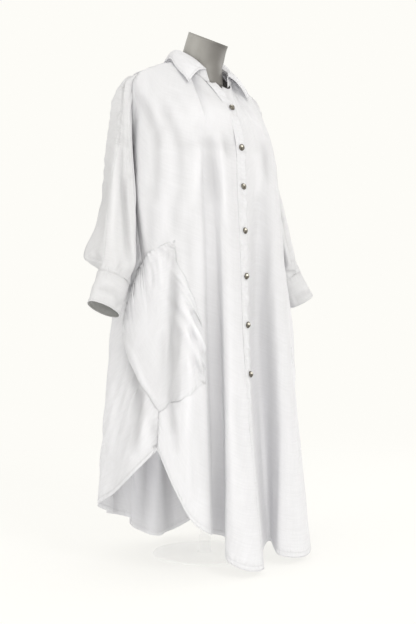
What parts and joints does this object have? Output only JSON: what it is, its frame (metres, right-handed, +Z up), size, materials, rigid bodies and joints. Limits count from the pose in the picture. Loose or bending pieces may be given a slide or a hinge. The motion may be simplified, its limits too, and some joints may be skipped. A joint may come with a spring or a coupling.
{
  "type": "long linen shirt on a limbless dress form",
  "caption": "Long loose button-front shirt with wide cuffed sleeves, pointed collar and curved side vents, worn by a limbless dress form on a pole and a round base.",
  "frame": {"origin": "on the floor, at the middle of the underside of the round base plate", "axes": "+Z up, -Y towards the front of the shirt, +X towards the wearer's left"},
  "size_m": [0.7058, 0.4621, 1.2519],
  "materials": {
    "linen": "plain-weave linen, matt",
    "form_grey": "satin grey",
    "stand_clear": "clear acrylic",
    "button_metal": "polished, slightly aged"
  },
  "bodies": {
    "root": {"front_right": "linen", "front_left": "linen", "back": "linen", "placket": "linen", "sleeve_right": "linen", "sleeve_left": "linen", "cuff_right": "linen", "cuff_left": "linen", "collar_stand": "linen", "collar_leaf": "linen", "pocket_right": "linen", "pocket_left": "linen", "button_1": "button_metal", "button_2": "button_metal", "button_3": "button_metal", "button_4": "button_metal", "button_5": "button_metal", "button_6": "button_metal", "button_7": "button_metal", "form_torso": "form_grey", "form_pole": "stand_clear", "form_base": "stand_clear"}
  },
  "joints": []
}
